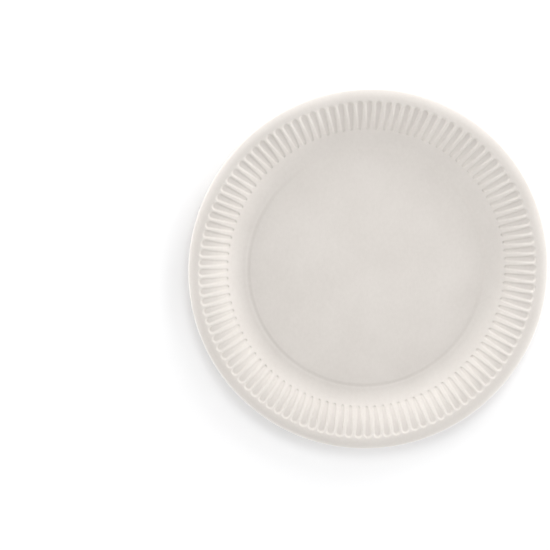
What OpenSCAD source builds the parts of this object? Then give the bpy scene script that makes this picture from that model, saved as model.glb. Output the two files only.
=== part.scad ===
// Round paper plate, pressed in one piece from flat board.
// A flat panel steps down to a narrow foot ring, a bend rises from the ring into a wall
// of radial flutes, and the wall rounds over into a plain brim that turns down at its cut edge.
// Millimetres. The origin is under the centre of the plate, on the surface it stands on.

/* [Plate] */
// Outside diameter over the cut edge
plate_d = 230; // [200:1:270]
// Thickness of the board, the same everywhere
board_t = 0.4; // [0.3:0.05:0.6]

/* [Foot] */
// Width of the flat ring that the plate stands on
foot_w = 1.4; // [0.8:0.1:2.4]
// Width in plan of the step between the ring and the flat panel
step_w = 2; // [1:0.1:2.8]
// Height of the panel above the ring
step_h = 0.35; // [0.2:0.05:0.8]

/* [Wall and brim] */
// Radius of the concave bend between the foot ring and the wall
bend_radius = 19.1; // [15:0.1:25]
// Steepest slope of the wall, where the bend ends, in degrees
wall_slope = 45; // [36:1:52]
// Width of the fluted wall in plan, from the bend to the crown
wall_w = 14.1; // [11:0.1:18]
// Slope at which the wall runs into the crown, in degrees
crown_slope = 15; // [10:1:22]
// Radius of the crown and of the brim that turns down beyond it
crown_radius = 13; // [11:0.5:18]
// Width of the brim in plan, from the top of the crown to the cut edge
brim_w = 6.2; // [4:0.1:8]

/* [Flutes] */
// Number of flutes round the wall
flute_count = 108; // [84:1:120]
// How far the flutes reach down into the bend, in plan
flute_lead = 3.3; // [1.5:0.1:4]
// Distance from the outer end of a flute to the top of the crown, in plan
flute_stop = 1.1; // [0.5:0.1:1.8]
// Length of the rounded end at either end of a flute, in plan
flute_end_w = 1.6; // [1:0.1:2.2]
// Depth of a flute near its inner end, square to the wall
flute_depth_in = 0.5; // [0.3:0.05:0.8]
// Depth of a flute near its outer end, square to the wall
flute_depth_out = 1; // [0.5:0.05:1.1]
// Share of a flute's width that is its flat floor, near its inner end
floor_in = 0.4; // [0.2:0.05:0.5]
// Share of a flute's width that is its flat floor, near its outer end
floor_out = 0.65; // [0.4:0.05:0.65]
// Width of the crest between two flutes at their inner ends
crest_in_w = 1.5; // [1.2:0.1:2.2]
// Width of the crest between two flutes at their outer ends
crest_out_w = 0.8; // [0.7:0.1:1.6]

/* [Hidden] */

// Radii in plan, worked inwards from the cut edge
edge_r = plate_d / 2;
crown_top_r = edge_r - brim_w;
crown_in_r = crown_top_r - crown_radius * sin(crown_slope);
wall_in_r = crown_in_r - wall_w;
bend_in_r = wall_in_r - bend_radius * sin(wall_slope);
foot_in_r = bend_in_r - foot_w;
panel_r = foot_in_r - step_w;
flute_in_r = wall_in_r - flute_lead;
flute_out_r = crown_top_r - flute_stop;

// Heights of the upper face
foot_z = board_t;
panel_z = foot_z + step_h;

// Where each arc of the section runs into the next: the radius in plan and the sine of the slope.
// Along an arc that sine changes evenly with the radius.
bends = [
    [bend_in_r, 0],
    [wall_in_r, sin(wall_slope)],
    [crown_in_r, sin(crown_slope)],
    [edge_r, -brim_w / crown_radius]
];

// Bands that the round stretches of the section are divided into
bend_bands = 4;
flute_bands = 3;
brim_bands = 2;
// Distance between the two heights that a slope is measured from
probe = 0.02;

// Slope of the plain upper face at a radius, in degrees
function slope(r) = asin(lookup(r, bends));

// Height of the upper face across the panel, the step and the foot ring
function step_z(r) = lookup(r, [[panel_r, panel_z], [foot_in_r, foot_z]]);

// Rise along arc k of the section, as far as a radius
function arc_rise(k, r) =
    let (
        from = bends[k],
        to = bends[k + 1],
        radius = (to[0] - from[0]) / (to[1] - from[1]),
        reached = min(max(r, from[0]), to[0])
    )
    radius * (cos(slope(from[0])) - cos(slope(reached)));

// Height of the plain upper face at a radius
function plain_z(r) = step_z(r) + arc_rise(0, r) + arc_rise(1, r) + arc_rise(2, r);

// Width of the crest between two flutes at a radius
function crest_w(r) = lookup(r, [[flute_in_r, crest_in_w], [flute_out_r, crest_out_w]]);

// Half the width of a flute at a radius
function flute_half_w(r) = PI * r / flute_count - crest_w(r) / 2;

// Depth of a flute along its centre line at a radius
function flute_depth(r) = lookup(r, [
    [flute_in_r, 0],
    [flute_in_r + flute_end_w, flute_depth_in],
    [flute_out_r - flute_end_w, flute_depth_out],
    [flute_out_r, 0]
]);

// Share of a flute's half width that is its flat floor at a radius
function floor_share(r) = lookup(r, [[flute_in_r, floor_in], [flute_out_r, floor_out]]);

// Places across a flute where its facets meet at a radius
function flute_places(r) = flute_half_w(r) * [-1, -floor_share(r), floor_share(r), 1];

// Share of the depth at a distance x from the centre line, flat floored with sloping sides
function flute_share(r, x) = lookup(abs(x) / flute_half_w(r), [[floor_share(r), 1], [1, 0]]);

// Height of the pressed upper face at a radius and a distance x from a flute's centre line
function pressed_z(r, x) = plain_z(r) - flute_depth(r) * flute_share(r, x) / cos(slope(r));

// Step through the board from its upper to its lower face at a point, mitred where facets meet.
// It runs in the flute's own directions: outwards, sideways and up.
function through_board(r, x) =
    let (
        z = pressed_z(r, x),
        inner = atan((z - pressed_z(r - probe, x)) / probe),
        outer = r + probe > edge_r ? inner : atan((pressed_z(r + probe, x) - z) / probe),
        left = atan((z - pressed_z(r, x - probe)) / probe),
        right = atan((pressed_z(r, x + probe) - z) / probe),
        square = [tan((inner + outer) / 2), tan((left + right) / 2), -1],
        mitre = cos((outer - inner) / 2) * cos((right - left) / 2)
    )
    board_t / mitre * square / norm(square);

// Point of the board at a radius and a distance x from the centre line of flute i,
// on the upper face or, with through = 1, on the lower one
function board_point(r, x, i, through) =
    let (
        a = 360 * i / flute_count + x / r * 180 / PI,
        step = through * through_board(r, x)
    )
    [
        cos(a) * (r + step[0]) - sin(a) * step[1],
        sin(a) * (r + step[0]) + cos(a) * step[1],
        pressed_z(r, x) + step[2]
    ];

// Rings of points: each has its radius and the places of its points across one flute
function steps(from, to, count) = [for (k = [0 : count]) from + (to - from) * k / count];
panel_rings = [panel_r, foot_in_r, each steps(bend_in_r, flute_in_r, bend_bands)];
flute_rings = steps(flute_in_r + flute_end_w, flute_out_r - flute_end_w, flute_bands);
brim_rings = steps(flute_out_r, edge_r, brim_bands);
rings = [
    for (r = panel_rings) [r, [0]],
    for (r = flute_rings) [r, flute_places(r)],
    for (r = brim_rings) [r, [0]]
];
last = len(rings) - 1;
per_flute = [for (ring = rings) len(ring[1])];

// Points of one side of the board, ring by ring, with the middle of the panel at the end
function side_points(through) = [
    for (ring = rings) for (i = [0 : flute_count - 1]) for (x = ring[1])
        board_point(ring[0], x, i, through),
    [0, 0, panel_z - through * board_t]
];

// Number of points in the rings inside ring k
function inside(k) = k == 0 ? 0 : inside(k - 1) + per_flute[k - 1] * flute_count;
middle = inside(len(rings));
to_lower_side = middle + 1;

// Index of point j of ring k, counted on round the ring
function point(k, j) = inside(k) + j % (per_flute[k] * flute_count);

// A triangle as it is, or turned over
function turned(face, over) = over ? [face[2], face[1], face[0]] : face;

// Triangles between ring k and the next, in fans from the points of the ring that has fewer
function band(k) =
    let (
        widens = per_flute[k + 1] >= per_flute[k],
        few = widens ? k : k + 1,
        many = widens ? k + 1 : k,
        share = per_flute[many] / per_flute[few]
    )
    [
        for (i = [0 : per_flute[few] * flute_count - 1]) each [
            for (j = [i * share : (i + 1) * share - 1])
                turned([point(few, i), point(many, j), point(many, j + 1)], widens),
            turned([point(few, i), point(many, (i + 1) * share), point(few, i + 1)], widens)
        ]
    ];

// The upper side is a fan round the middle of the panel and then the bands out to the edge
upper_faces = [
    for (i = [0 : flute_count - 1]) [middle, point(0, i + 1), point(0, i)],
    for (k = [0 : last - 1]) each band(k)
];
// The lower side has the same triangles, turned over
lower_faces = [
    for (face = upper_faces) [for (p = turned(face, true)) p + to_lower_side]
];
// The cut edge joins the outermost ring of one side to that of the other
edge_faces = [
    for (i = [0 : flute_count - 1])
        let (
            here = point(last, i),
            next = point(last, i + 1)
        )
        each [
            [next, here + to_lower_side, here],
            [next + to_lower_side, here + to_lower_side, next]
        ]
];

module plate() {
    color("#DED7D1")
        polyhedron(
            points = concat(side_points(0), side_points(1)),
            faces = concat(upper_faces, lower_faces, edge_faces)
        );
}

plate();
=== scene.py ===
import math

import bpy
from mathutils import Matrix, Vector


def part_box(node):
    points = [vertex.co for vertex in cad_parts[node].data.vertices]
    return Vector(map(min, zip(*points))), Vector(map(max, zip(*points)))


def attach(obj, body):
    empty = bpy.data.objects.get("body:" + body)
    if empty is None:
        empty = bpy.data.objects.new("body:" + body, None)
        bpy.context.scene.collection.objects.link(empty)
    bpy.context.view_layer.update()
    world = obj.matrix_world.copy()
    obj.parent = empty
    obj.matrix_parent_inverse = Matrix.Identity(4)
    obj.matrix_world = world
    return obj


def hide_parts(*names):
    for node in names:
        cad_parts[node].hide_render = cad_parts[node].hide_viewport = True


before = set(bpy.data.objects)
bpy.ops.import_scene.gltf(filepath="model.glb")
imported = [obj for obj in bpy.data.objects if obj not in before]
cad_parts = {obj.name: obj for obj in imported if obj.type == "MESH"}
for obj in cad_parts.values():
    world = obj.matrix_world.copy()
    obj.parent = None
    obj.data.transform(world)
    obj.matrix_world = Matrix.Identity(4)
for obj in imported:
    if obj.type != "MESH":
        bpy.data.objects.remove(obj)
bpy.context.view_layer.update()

# Round paper plate lying on a white table, seen from a little to the upper left of straight above.
# Metres. The plate's axis is Z, and it stands on its foot ring at height zero.
MM = 0.001

# Sizes that the press gives the board. Widths and lengths are in plan, and a flute's depth is square
# to the wall. The radii of bend, crown and brim are those of the arcs in the section. Plain numbers are
# counts, shares and the seed of the random draws.
PLATE = {
    "Edge Radius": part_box("plate")[1].x,
    "Board Thickness": 0.4 * MM,
    "Foot Width": 1.1 * MM,
    "Step Width": 2.5 * MM,
    "Step Height": 0.29 * MM,
    "Lip Width": 2.5 * MM,
    "Lip Height": 0.07 * MM,
    "Bend Radius": 19.1 * MM,
    "Wall Slope": math.radians(45),
    "Wall Width": 14.1 * MM,
    "Crown Slope": math.radians(15),
    "Crown Radius": 15.7 * MM,
    "Brim Width": 5.5 * MM,
    "Brim Radius": 8.5 * MM,
    "Flute Count": 108,
    "Flute Lead": 2.9 * MM,
    "Flute Stop": 1.5 * MM,
    "Flute Inner End": 1.8 * MM,
    "Flute Outer End": 3.0 * MM,
    "Flute End Slope": 0.45,
    "Flute Side": 1.35 * MM,
    "Flute Depth Inside": 0.5 * MM,
    "Flute Depth Outside": 1.15 * MM,
    "Crest Width Inside": 1.9 * MM,
    "Crest Width Outside": 0.25 * MM,
    "Flute Unevenness": 0.05,
    # Strength of the painted shade on the crown and on the panel, and width of the band of painted
    # light at the cut edge
    "Crown Painted Shade": 1.35,
    "Panel Painted Shade": 0.5,
    "Painted Light Width": 0.9 * MM,
    "Press Shift X": -0.85 * MM,
    "Press Shift Y": -0.35 * MM,
    "Press Oval": 0.47 * MM,
    "Oval Direction": math.radians(10),
    "Panel Waviness": 0.04 * MM,
    "Rim Droop": 0.32 * MM,
    "Least Droop": 0.15 * MM,
    "Seed": 7,
}

# Columns of points that cross one flute, and how many of them merge into one on the plain parts
FLUTE_COLUMNS = 16
PANEL_MERGE = 16
BRIM_MERGE = 4

# Rings of points on each stretch of the section, from the middle of the plate out
RINGS = {
    "panel": 14,
    "panel rim": 1,
    "step": 9,
    "foot": 3,
    "bend": 11,
    "inner flute ends": 8,
    "flute middles": 6,
    "outer flute ends": 8,
    "brim": 7,
    # The last stretch is the band of painted light at the cut edge
    "worn edge": 2,
}
# Share of the panel's radius at which its rim starts
PANEL_RIM_START = 0.96
# How far the close rings reach inside the flutes' inner ends and outside their outer ends
CLOSE_BEFORE_FLUTES = 0.5 * MM
CLOSE_PAST_FLUTES = 0.2 * MM
# How far they reach along the flutes from the inner and from the outer end
CLOSE_INNER_END = 2.4 * MM
CLOSE_OUTER_END = 3.2 * MM

# Added to a number before it is rounded, so that a half goes up and a whole number stays itself
NUDGE = 0.01
# Least distance from a flute's middle, as a share of its half width, so that nothing is divided by zero
LEAST_APART = 0.01
# Points closer than this are joined
MERGE_DISTANCE = 0.005 * MM
# Edges of the finished plate that turn by more than this are shaded sharp
SHARP_ANGLE = math.radians(50)

# Share of the panel's radius that waves in full, and the lengths of the waves of panel and rim
WAVY_SHARE = 0.9
PANEL_WAVE = 45 * MM
RIM_WAVE = 90 * MM
# Number of the random draw that each unevenness takes
DRAWS = {"flute place": 1, "flute depth": 2, "panel waves": 3, "rim droop": 4}
# Width of the soft inner edge of the painted shade on the crown
CROWN_SHADE_EDGE = 1 * MM

# Colours that the board goes towards: painted shade, darker on the flute floors, the crown and the
# panel, and painted light, lighter towards the cut edge
PAINTED_SHADE_COLOUR = (0.58, 0.545, 0.51)
PAINTED_LIGHT_COLOUR = (0.93, 0.90, 0.87)
# Share of the painted shade colour where the shade mark is 1
PAINTED_SHADE_SHARE = 0.15
# Range in which nearly all values of the felt lie
FELT_LOW = 0.3
FELT_HIGH = 0.7
# Strength of the board's faint mirror reflection, where 0.5 is that of plastic
BOARD_REFLECTION = 0.25

# Width of the square lamps, and their distance from the middle of the plate
LAMP_WIDTH = 0.6
LAMP_DISTANCE = 1.4


class Field:
    """A number that a node tree works out, so that a formula reads as plain arithmetic."""

    def __init__(self, tree, socket):
        self.tree = tree
        self.socket = socket

    def node(self, kind, *terms, **settings):
        """The first output of a new node that is fed with fields or plain numbers."""
        made = self.tree.nodes.new(kind)
        for name, value in settings.items():
            setattr(made, name, value)
        for socket, term in zip(made.inputs, terms):
            if isinstance(term, Field):
                self.tree.links.new(term.socket, socket)
            else:
                socket.default_value = term
        return Field(self.tree, made.outputs[0])

    def math(self, operation, *terms):
        """The result of a Math node."""
        return self.node("ShaderNodeMath", *terms, operation=operation)

    def __add__(self, other):
        return self.math("ADD", self, other)

    def __radd__(self, other):
        return self.math("ADD", other, self)

    def __sub__(self, other):
        return self.math("SUBTRACT", self, other)

    def __rsub__(self, other):
        return self.math("SUBTRACT", other, self)

    def __mul__(self, other):
        return self.math("MULTIPLY", self, other)

    def __rmul__(self, other):
        return self.math("MULTIPLY", other, self)

    def __truediv__(self, other):
        return self.math("DIVIDE", self, other)

    def sine(self):
        return self.math("SINE", self)

    def cosine(self):
        return self.math("COSINE", self)

    def root(self):
        return self.math("SQRT", self)

    def floor(self):
        return self.math("FLOOR", self)

    def rounded(self):
        return self.math("ROUND", self)

    def below(self, limit):
        return self.math("LESS_THAN", self, limit)

    def above(self, limit):
        return self.math("GREATER_THAN", self, limit)

    def at_least(self, low):
        return self.math("MAXIMUM", self, low)

    def at_most(self, high):
        return self.math("MINIMUM", self, high)

    def share(self, start, end, smooth=False):
        """How far the number is from start to end, from 0 to 1."""
        way = "SMOOTHSTEP" if smooth else "LINEAR"
        return self.node("ShaderNodeMapRange", self, start, end, interpolation_type=way)

    def curved(self):
        """A share that swings from 0 to 1 along two equal arcs, hollow and then round."""
        hollow = self.at_most(0.5)
        round_part = self.at_least(0.5) - 0.5
        return hollow * hollow * 2 + round_part * 2 - round_part * round_part * 2

    def between(self, start, end, low, high):
        """The value that lies as far from low to high as the number is from start to end."""
        return self.node("ShaderNodeMapRange", self, start, end, low, high)


def named_inputs(tree, sizes):
    """Gives the tree an input for each size, and returns them as fields."""
    source = tree.nodes.new("NodeGroupInput")
    for name, size in sizes.items():
        socket = tree.interface.new_socket(name, in_out="INPUT", socket_type="NodeSocketFloat")
        socket.default_value = size
    return {name: Field(tree, source.outputs[name]) for name in sizes}


def set_inputs(modifier, sizes):
    """Sets the modifier's inputs to the sizes of the same names."""
    for item in modifier.node_group.interface.items_tree:
        if item.name in sizes:
            modifier[item.identifier] = float(sizes[item.name])


def section_radii(size):
    """Radii in plan at which one stretch of the plate's section runs into the next."""
    radii = {"edge": size["Edge Radius"]}
    # Where the painted light towards the cut edge starts
    radii["worn"] = radii["edge"] - size["Painted Light Width"]
    radii["crown top"] = radii["edge"] - size["Brim Width"]
    radii["crown in"] = radii["crown top"] - size["Crown Radius"] * size["Crown Slope"].sine()
    radii["wall in"] = radii["crown in"] - size["Wall Width"]
    radii["bend in"] = radii["wall in"] - size["Bend Radius"] * size["Wall Slope"].sine()
    radii["foot in"] = radii["bend in"] - size["Foot Width"]
    radii["panel"] = radii["foot in"] - size["Step Width"]
    radii["flute in"] = radii["wall in"] - size["Flute Lead"]
    radii["flute out"] = radii["crown top"] - size["Flute Stop"]
    return radii


def ring_stretches(radii):
    """Stretches of the section inside the flutes, along them and outside them.

    Each has the radius at its start and end, and the number of rings of points from one to the other.
    """
    panel_rim = radii["panel"] * PANEL_RIM_START
    flutes_start = radii["flute in"] - CLOSE_BEFORE_FLUTES
    middles_start = radii["flute in"] + CLOSE_INNER_END
    middles_end = radii["flute out"] - CLOSE_OUTER_END
    flutes_end = radii["flute out"] + CLOSE_PAST_FLUTES
    inside = [
        (0, panel_rim, RINGS["panel"]),
        (panel_rim, radii["panel"], RINGS["panel rim"]),
        (radii["panel"], radii["foot in"], RINGS["step"]),
        (radii["foot in"], radii["bend in"], RINGS["foot"]),
        (radii["bend in"], flutes_start, RINGS["bend"]),
    ]
    fluted = [
        (flutes_start, middles_start, RINGS["inner flute ends"]),
        (middles_start, middles_end, RINGS["flute middles"]),
        (middles_end, flutes_end, RINGS["outer flute ends"]),
    ]
    outside = [
        (flutes_end, radii["worn"], RINGS["brim"]),
        (radii["worn"], radii["edge"], RINGS["worn edge"]),
    ]
    return inside, fluted, outside


def ring_radius(ring, stretches):
    """Radius of a ring of points, from its number."""
    radius = 0
    first = 0
    for start, end, steps in stretches:
        radius = ring.share(first, first + steps) * (end - start) + radius
        first += steps
    return radius


def ring_count(stretches):
    """Rings of points on all the stretches together."""
    return sum(steps for _, _, steps in stretches)


def plain_section(radius, radii, size):
    """Height of the upper face before the flutes are pressed, and the cosine of its slope."""
    wall_sine = size["Wall Slope"].sine()
    crown_sine = size["Crown Slope"].sine()
    edge_sine = -1 * size["Brim Width"] / size["Brim Radius"]
    arcs = (
        (radii["bend in"], radii["wall in"], 0, wall_sine),
        (radii["wall in"], radii["crown in"], wall_sine, crown_sine),
        (radii["crown in"], radii["crown top"], crown_sine, 0),
        (radii["crown top"], radii["edge"], 0, edge_sine),
    )
    sine = 0
    rise = 0
    for start, end, sine_in, sine_out in arcs:
        turned = radius.between(start, end, sine_in, sine_out)
        arc_radius = (end - start) / (sine_out - sine_in)
        rise = (level(sine_in) - level(turned)) * arc_radius + rise
        sine = turned - sine_in + sine
    steps = step_and_lip(radius, radii, size)
    return size["Board Thickness"] + steps + rise, level(sine)


def step_and_lip(radius, radii, size):
    """Height above the foot ring of the panel and of the soft lip just outside the ring."""
    on_panel = 1 - radius.share(radii["panel"], radii["foot in"], smooth=True)
    lip_end = radii["bend in"] + size["Lip Width"]
    on_lip = radius.share(radii["foot in"], radii["bend in"], smooth=True)
    on_lip = on_lip - radius.share(radii["bend in"], lip_end, smooth=True)
    return size["Step Height"] * on_panel + size["Lip Height"] * on_lip


def level(sine):
    """Cosine of the slope that has this sine."""
    return (1 - sine * sine).root() if isinstance(sine, Field) else math.sqrt(1 - sine * sine)


def flute_press(radius, across, flute, radii, size):
    """Share of the full press, from 0 on the plain board to 1 on a flute's floor, and its depth.

    Across is the distance from the flute's centre line. Far inside the flutes their half width is
    kept above zero, so that nothing is pressed there.
    """
    start, end = radii["flute in"], radii["flute out"]
    crest = radius.between(start, end, size["Crest Width Inside"], size["Crest Width Outside"])
    half = (radius * math.pi / size["Flute Count"] - crest / 2).at_least(crest / 2)
    past_inner = (start + size["Flute Inner End"] - radius) / size["Flute Inner End"]
    past_outer = (radius - end + size["Flute Outer End"]) / size["Flute Outer End"]
    along = past_inner.at_least(0) + past_outer.at_least(0)
    sideways = across / half + uneven(flute, size, DRAWS["flute place"])
    apart = (sideways * sideways + along * along).root().at_least(LEAST_APART)
    at_end = (along / apart) * (along / apart)
    slope = size["Flute Side"] / half * (1 - at_end) + size["Flute End Slope"] * at_end
    press = 1 - apart.share(1 - slope, 1).curved()
    outwards = radius.share(start, end)
    deepening = size["Flute Depth Outside"] - size["Flute Depth Inside"]
    depth = size["Flute Depth Inside"] + deepening * outwards
    return press, depth * (1 + uneven(flute, size, DRAWS["flute depth"]))


def uneven(flute, size, draw):
    """A small random number for each flute, the same each time for one seed and draw."""
    made = flute.tree.nodes.new("FunctionNodeRandomValue")
    made.data_type = "FLOAT"
    floats = {"Min": -1 * size["Flute Unevenness"], "Max": size["Flute Unevenness"]}
    for socket in made.inputs:
        if socket.enabled and socket.name in floats:
            flute.tree.links.new(floats[socket.name].socket, socket)
    flute.tree.links.new(flute.socket, made.inputs["ID"])
    flute.tree.links.new((size["Seed"] + draw).socket, made.inputs["Seed"])
    shown = next(output for output in made.outputs if output.enabled)
    return Field(flute.tree, shown)


def wander(x, y, size, length, draw):
    """A soft random height from -1 to 1 over the plate, with the given length of its waves."""
    noise_low, noise_high = 0.25, 0.75
    place = x.node("ShaderNodeCombineXYZ", x, y, (size["Seed"] + draw) * length)
    noise = x.tree.nodes.new("ShaderNodeTexNoise")
    x.tree.links.new(place.socket, noise.inputs["Vector"])
    noise.inputs["Scale"].default_value = 1 / length
    noise.inputs["Detail"].default_value = 1
    return Field(x.tree, noise.outputs[0]).share(noise_low, noise_high, smooth=True) * 2 - 1


def waves_and_droop(x, y, radius, radii, size):
    """Height of the panel's soft waves, and how far the wall and the rim droop."""
    wavy_radius = radii["panel"] * WAVY_SHARE
    on_panel = 1 - radius.share(wavy_radius, radii["panel"], smooth=True)
    on_rim = radius.share(radii["bend in"], radii["crown in"], smooth=True)
    waves = wander(x, y, size, PANEL_WAVE, DRAWS["panel waves"]) * size["Panel Waviness"] * on_panel
    low = wander(x, y, size, RIM_WAVE, DRAWS["rim droop"])
    droop = low.between(-1, 1, size["Least Droop"], size["Rim Droop"]) * on_rim
    return waves, droop


def flat_grid(tree, columns, rings):
    """A flat grid that becomes the plate, and the numbers of each point's column and ring."""
    grid = tree.nodes.new("GeometryNodeMeshGrid")
    grid.inputs["Size Y"].default_value = rings
    grid.inputs["Vertices Y"].default_value = rings + 1
    tree.links.new(columns.socket, grid.inputs["Size X"])
    tree.links.new((columns + 1).socket, grid.inputs["Vertices X"])
    place = tree.nodes.new("GeometryNodeInputPosition")
    split = tree.nodes.new("ShaderNodeSeparateXYZ")
    tree.links.new(place.outputs[0], split.inputs[0])
    column = (Field(tree, split.outputs["X"]) + columns / 2).rounded()
    ring = (Field(tree, split.outputs["Y"]) + rings / 2).rounded()
    return grid.outputs["Mesh"], column, ring


def flute_turns(column, merge, size):
    """Number of the flute that a column crosses, and the column's angle from its centre line."""
    column = (column / merge + NUDGE).rounded() * merge
    flute = (column / FLUTE_COLUMNS + NUDGE).floor()
    from_centre = (column / FLUTE_COLUMNS - flute - 0.5) * (2 * math.pi) / size["Flute Count"]
    return flute, from_centre


def pressed_place(radius, turn, radii, size):
    """Place in plan of a point, as the press shifts the sheet and makes it a little oval."""
    stretched = radius.share(radii["bend in"], radii["flute out"])
    released = radius.share(radii["flute out"], radii["edge"])
    oval = ((turn - size["Oval Direction"]) * 2).cosine()
    reach = radius + size["Press Oval"] * (oval * (stretched - released / 2) - released / 2)
    x = reach * turn.cosine() + size["Press Shift X"] * (stretched - released)
    y = reach * turn.sine() + size["Press Shift Y"] * (stretched - released)
    return x, y


def stored(geometry, name, field):
    """The geometry with a field kept on its points under a name, for the materials to read."""
    kept = field.tree.nodes.new("GeometryNodeStoreNamedAttribute")
    kept.data_type = "FLOAT"
    kept.domain = "POINT"
    kept.inputs["Name"].default_value = name
    field.tree.links.new(geometry, kept.inputs["Geometry"])
    field.tree.links.new(field.socket, kept.inputs["Value"])
    return kept.outputs[0]


def marked(grid, press, radius, radii, size):
    """The flat grid with a mark of painted shade, darker on the flute floors, the crown and the panel,
    and a mark of painted light, lighter towards the cut edge.

    They are stored before the points move, because the radius is read from their flat places.
    """
    crown_start = radii["flute out"] - CROWN_SHADE_EDGE
    on_crown = radius.share(crown_start, radii["flute out"], smooth=True)
    on_crown = on_crown - radius.share(radii["crown top"], radii["worn"])
    on_floor = 1 - radius.share(radii["panel"], radii["foot in"])
    painted_shade = press.at_most(1 - on_crown) + on_crown * size["Crown Painted Shade"]
    painted_shade = painted_shade + on_floor * size["Panel Painted Shade"]
    painted_light_full = (radii["worn"] + radii["edge"]) / 2
    # The mark named press holds painted shade, darker on the flute floors, the crown and the panel
    pressed = stored(grid, "press", painted_shade)
    # The second mark holds painted light, lighter towards the cut edge
    return stored(pressed, "painted_light", radius.share(radii["worn"], painted_light_full))


def moved(geometry, x, y, height):
    """The geometry with its points at the given places."""
    tree = x.tree
    bent = tree.nodes.new("GeometryNodeSetPosition")
    tree.links.new(geometry, bent.inputs["Geometry"])
    tree.links.new(x.node("ShaderNodeCombineXYZ", x, y, height).socket, bent.inputs["Position"])
    return bent.outputs[0]


def finish_face(tree, geometry, face):
    """Joins the points that fell together, turns the face up, smooths it and gives its material."""
    closed = tree.nodes.new("GeometryNodeMergeByDistance")
    closed.inputs["Distance"].default_value = MERGE_DISTANCE
    upward = tree.nodes.new("GeometryNodeFlipFaces")
    smooth = tree.nodes.new("GeometryNodeSetShadeSmooth")
    real = tree.nodes.new("GeometryNodeRealizeInstances")
    coated = tree.nodes.new("GeometryNodeSetMaterial")
    coated.inputs["Material"].default_value = face
    output = tree.nodes.new("NodeGroupOutput")
    for step in (closed, upward, smooth, real, coated):
        tree.links.new(geometry, step.inputs[0])
        geometry = step.outputs[0]
    tree.links.new(geometry, output.inputs[0])


def pressed_board_tree(face):
    """Upper face of the plate: a flat grid, wound round the axis and pressed to its section."""
    tree = bpy.data.node_groups.new("Pressed board", "GeometryNodeTree")
    tree.interface.new_socket("Geometry", in_out="OUTPUT", socket_type="NodeSocketGeometry")
    size = named_inputs(tree, PLATE)
    radii = section_radii(size)
    inside, fluted, outside = ring_stretches(radii)
    first_fluted = ring_count(inside)
    last_fluted = first_fluted + ring_count(fluted)
    rings = last_fluted + ring_count(outside)
    grid, column, ring = flat_grid(tree, size["Flute Count"] * FLUTE_COLUMNS, rings)

    merge = 1 + ring.below(first_fluted) * (PANEL_MERGE - 1)
    merge = merge + ring.above(last_fluted) * (BRIM_MERGE - 1)
    flute, from_centre = flute_turns(column, merge, size)
    turn = flute * (2 * math.pi) / size["Flute Count"] + from_centre
    radius = ring_radius(ring, inside + fluted + outside)
    x, y = pressed_place(radius, turn, radii, size)
    height, slope_cosine = plain_section(radius, radii, size)
    press, depth = flute_press(radius, radius * from_centre, flute, radii, size)
    waves, droop = waves_and_droop(x, y, radius, radii, size)
    height = height - depth * press / slope_cosine + waves - droop

    sheet = marked(grid, press, radius, radii, size)
    finish_face(tree, moved(sheet, x, y, height), face)
    return tree


def new_object(name, mesh):
    """An object in the scene that shows the mesh, lamp or camera."""
    made = bpy.data.objects.new(name, mesh)
    bpy.context.scene.collection.objects.link(made)
    return made


def settled(shaped, name):
    """A plain mesh of what the object's modifiers give, as a new object in place of the old one."""
    graph = bpy.context.evaluated_depsgraph_get()
    result = shaped.evaluated_get(graph)
    mesh = bpy.data.meshes.new_from_object(result, preserve_all_data_layers=True, depsgraph=graph)
    bpy.data.objects.remove(shaped)
    mesh.name = name
    return new_object(name, mesh)


def pressed_plate(face, cut_edge):
    """The whole plate: its upper face, thickened downwards, with a sharp cut edge."""
    sheet = new_object("upper_face", bpy.data.meshes.new("upper_face"))
    press = sheet.modifiers.new("Pressed board", "NODES")
    press.node_group = pressed_board_tree(face)
    set_inputs(press, PLATE)
    upper = settled(sheet, "upper_face")
    upper.data.materials.append(cut_edge)
    wall = upper.modifiers.new("Board", "SOLIDIFY")
    wall.thickness = PLATE["Board Thickness"]
    wall.offset = -1
    wall.material_offset_rim = 1
    plate = settled(upper, "paper_plate")
    plate.data.set_sharp_from_angle(angle=SHARP_ANGLE)
    return plate


def new_group(name, inputs, outputs):
    """A shader node group with named inputs, which are returned as fields, and named outputs."""
    tree = bpy.data.node_groups.new(name, "ShaderNodeTree")
    fields = named_inputs(tree, inputs)
    for output in outputs:
        tree.interface.new_socket(output, in_out="OUTPUT", socket_type="NodeSocketFloat")
    return tree, fields


def put_out(tree, results):
    """Links the fields to the group's outputs of the same names."""
    output = tree.nodes.new("NodeGroupOutput")
    for name, field in results.items():
        tree.links.new(field.socket, output.inputs[name])


def grain(coordinates, scale, detail, stretch=1, turn=0):
    """Noise on the object's own coordinates, drawn out along one direction."""
    tree = coordinates.tree
    turned = tree.nodes.new("ShaderNodeMapping")
    turned.inputs["Rotation"].default_value = (0, 0, turn)
    turned.inputs["Scale"].default_value = (1, stretch, 1)
    tree.links.new(coordinates.socket, turned.inputs["Vector"])
    noise = tree.nodes.new("ShaderNodeTexNoise")
    noise.inputs["Detail"].default_value = detail
    tree.links.new(turned.outputs[0], noise.inputs["Vector"])
    tree.links.new(scale.socket, noise.inputs["Scale"])
    return Field(tree, noise.outputs[0])


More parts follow.
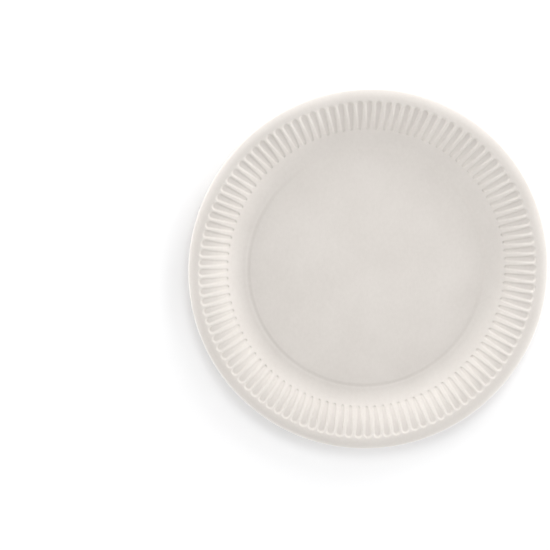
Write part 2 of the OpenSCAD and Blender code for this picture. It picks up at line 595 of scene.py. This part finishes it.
def paper_fibres():
    """The felt of a paper surface: crossed fibres, the flocs they gather in, and slow clouds."""
    sizes = {"Fibre Scale": 2500, "Floc Scale": 420, "Cloud Scale": 28, "Fibre Share": 0.5}
    stretch = 0.16
    first_way = math.radians(20)
    second_way = math.radians(110)
    cloud_share = 0.5
    tree, size = new_group("Paper fibres", sizes, ("Shade", "Height"))
    source = tree.nodes.new("ShaderNodeTexCoord")
    coordinates = Field(tree, source.outputs["Object"])
    along = grain(coordinates, size["Fibre Scale"], detail=2, stretch=stretch, turn=first_way)
    across = grain(coordinates, size["Fibre Scale"], detail=2, stretch=stretch, turn=second_way)
    flocs = grain(coordinates, size["Floc Scale"], detail=3)
    clouds = grain(coordinates, size["Cloud Scale"], detail=2)
    fibres = along.at_least(across)
    felt = fibres * size["Fibre Share"] + flocs * (1 - size["Fibre Share"])
    shade = felt * (1 - cloud_share) + clouds * cloud_share
    put_out(tree, {"Shade": shade, "Height": felt})
    return tree


def mixed_colour(share, first, second):
    """Socket of a colour between two others, each of them a colour or the socket of one."""
    tree = share.tree
    mixed = tree.nodes.new("ShaderNodeMix")
    mixed.data_type = "RGBA"
    tree.links.new(share.socket, mixed.inputs[0])
    ends = [socket for socket in mixed.inputs if socket.type == "RGBA"]
    for socket, colour in zip(ends, (first, second)):
        if isinstance(colour, tuple):
            socket.default_value = (*colour, 1)
        else:
            tree.links.new(colour, socket)
    return next(socket for socket in mixed.outputs if socket.type == "RGBA")


def mark(tree, name):
    """Field of a mark that the press tree left on the mesh."""
    made = tree.nodes.new("ShaderNodeAttribute")
    made.attribute_name = name
    return Field(tree, made.outputs["Fac"])


def board_material(name, fibres, look):
    """Uncoated board: it runs from dark to light with the felt, which stands up a little.

    It goes towards a darker colour where the mesh is marked with painted shade, and towards a lighter
    one where it is marked with painted light.
    """
    material = bpy.data.materials.new(name)
    material.use_nodes = True
    tree = material.node_tree
    shader = tree.nodes["Principled BSDF"]
    shader.inputs["Specular IOR Level"].default_value = BOARD_REFLECTION
    felt = tree.nodes.new("ShaderNodeGroup")
    felt.node_tree = fibres
    for socket, value in look["felt"].items():
        felt.inputs[socket].default_value = value
    height = Field(tree, felt.outputs["Height"])
    shade = Field(tree, felt.outputs["Shade"]).share(FELT_LOW, FELT_HIGH)
    board = mixed_colour(shade, look["dark"], look["light"])
    # Painted shade on the flute floors, the crown and the panel
    board = mixed_colour(mark(tree, "press") * PAINTED_SHADE_SHARE, board, PAINTED_SHADE_COLOUR)
    # Painted light towards the cut edge
    board = mixed_colour(mark(tree, "painted_light") * look["painted_light"], board, PAINTED_LIGHT_COLOUR)
    tree.links.new(board, shader.inputs["Base Color"])
    roughness = height.between(FELT_LOW, FELT_HIGH, *look["roughness"])
    tree.links.new(roughness.socket, shader.inputs["Roughness"])
    bump = tree.nodes.new("ShaderNodeBump")
    bump.inputs["Distance"].default_value = look["relief"]
    tree.links.new(height.socket, bump.inputs["Height"])
    tree.links.new(bump.outputs[0], shader.inputs["Normal"])
    return material


def paperboard(fibres):
    """Both faces of the board, smoother where the felt is high."""
    look = {
        "dark": (0.70, 0.66, 0.62),
        "light": (0.78, 0.74, 0.70),
        "roughness": (0.9, 0.7),
        "relief": 0.02 * MM,
        "felt": {"Fibre Scale": 2500, "Fibre Share": 0.5},
        # Share of the painted light towards the cut edge
        "painted_light": 0.65,
    }
    return board_material("paperboard", fibres, look)


def cut_board(fibres):
    """The cut through the board: lighter and rougher than its faces, with finer fibres."""
    look = {
        "dark": (0.74, 0.71, 0.68),
        "light": (0.82, 0.80, 0.77),
        "roughness": (0.95, 0.85),
        "relief": 0.04 * MM,
        "felt": {"Fibre Scale": 4000, "Fibre Share": 0.8},
        # Share of the painted light towards the cut edge
        "painted_light": 0.5,
    }
    return board_material("cut_board", fibres, look)


def white_table():
    """Wide white table top. It looks white to the camera and keeps the plate's shadow."""
    half_width = 3.0
    colour = (0.93, 0.93, 0.935)
    roughness = 0.7
    glow = 0.155
    corners = ((-1, -1), (1, -1), (1, 1), (-1, 1))
    mesh = bpy.data.meshes.new("table_top")
    mesh.from_pydata([(x * half_width, y * half_width, 0) for x, y in corners], [], [(0, 1, 2, 3)])
    material = bpy.data.materials.new("white_table")
    material.use_nodes = True
    tree = material.node_tree
    shader = tree.nodes["Principled BSDF"]
    shader.inputs["Base Color"].default_value = (*colour, 1)
    shader.inputs["Roughness"].default_value = roughness
    shader.inputs["Emission Color"].default_value = (1, 1, 1, 1)
    tree.links.new((seen_ray(tree) * glow).socket, shader.inputs["Emission Strength"])
    mesh.materials.append(material)
    table = new_object("table_top", mesh)


def seen_ray(tree):
    """1 on rays that show a surface to the camera, also in or through another, and 0 on the rest."""
    path = tree.nodes.new("ShaderNodeLightPath")
    camera = Field(tree, path.outputs["Is Camera Ray"])
    glossy = Field(tree, path.outputs["Is Glossy Ray"])
    through = Field(tree, path.outputs["Is Transmission Ray"])
    return (camera + glossy + through).at_most(1)


def white_room(ambient):
    """World: white to the camera, and a soft even light on everything."""
    world = bpy.data.worlds.new("white_room")
    world.use_nodes = True
    tree = world.node_tree
    background = tree.nodes["Background"]
    background.inputs["Color"].default_value = (1, 1, 1, 1)
    strength = seen_ray(tree) * (1 - ambient) + ambient
    tree.links.new(strength.socket, background.inputs["Strength"])
    bpy.context.scene.world = world


def soft_box(name, azimuth, elevation, power):
    """Square soft lamp that faces the plate. Its angles are in degrees, from +X towards +Y and up."""
    light = bpy.data.lights.new(name, "AREA")
    light.shape = "SQUARE"
    light.size = LAMP_WIDTH
    light.energy = power
    lamp = new_object(name, light)
    rise = math.radians(elevation)
    turn = math.radians(azimuth)
    reach = LAMP_DISTANCE * math.cos(rise)
    height = LAMP_DISTANCE * math.sin(rise)
    lamp.location = (reach * math.cos(turn), reach * math.sin(turn), height)
    lamp.rotation_euler = (math.pi / 2 - rise, 0, turn + math.pi / 2)
    lamp.visible_camera = False


def overhead_camera():
    """Camera above the plate, to its upper left. The plate lies at the right of the picture."""
    distance = 1.5
    lean_x, lean_y = -0.155, 0.109
    aim_x, aim_y, aim_height = -60.3 * MM, -1.3 * MM, 13 * MM
    seen_width = 342.1 * MM
    camera = bpy.data.cameras.new("camera")
    camera.sensor_width = 36
    camera.lens = camera.sensor_width * distance / seen_width
    made = new_object("camera", camera)
    made.location = (distance * lean_x, distance * lean_y, aim_height + distance)
    tip = math.atan(aim_y / distance - lean_y)
    roll = math.atan(lean_x - aim_x / distance)
    made.rotation_euler = (tip, roll, 0)
    bpy.context.scene.camera = made


overhead_camera()
white_table()
white_room(ambient=0.485)
soft_box("right_lamp", azimuth=0, elevation=8, power=4.0)
soft_box("high_right_lamp", azimuth=0, elevation=40, power=1.7)
soft_box("low_key_lamp", azimuth=60, elevation=8, power=5.1)
soft_box("key_lamp", azimuth=60, elevation=22, power=5.7)
soft_box("upper_left_lamp", azimuth=120, elevation=8, power=3.2)
soft_box("left_lamp", azimuth=180, elevation=8, power=11.2)
soft_box("lower_right_lamp", azimuth=300, elevation=8, power=7.7)
soft_box("top_lamp", azimuth=90, elevation=60, power=3.9)
bpy.context.scene.view_settings.view_transform = "Standard"

fibres = paper_fibres()
plate = pressed_plate(paperboard(fibres), cut_board(fibres))
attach(plate, "root")
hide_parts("plate")
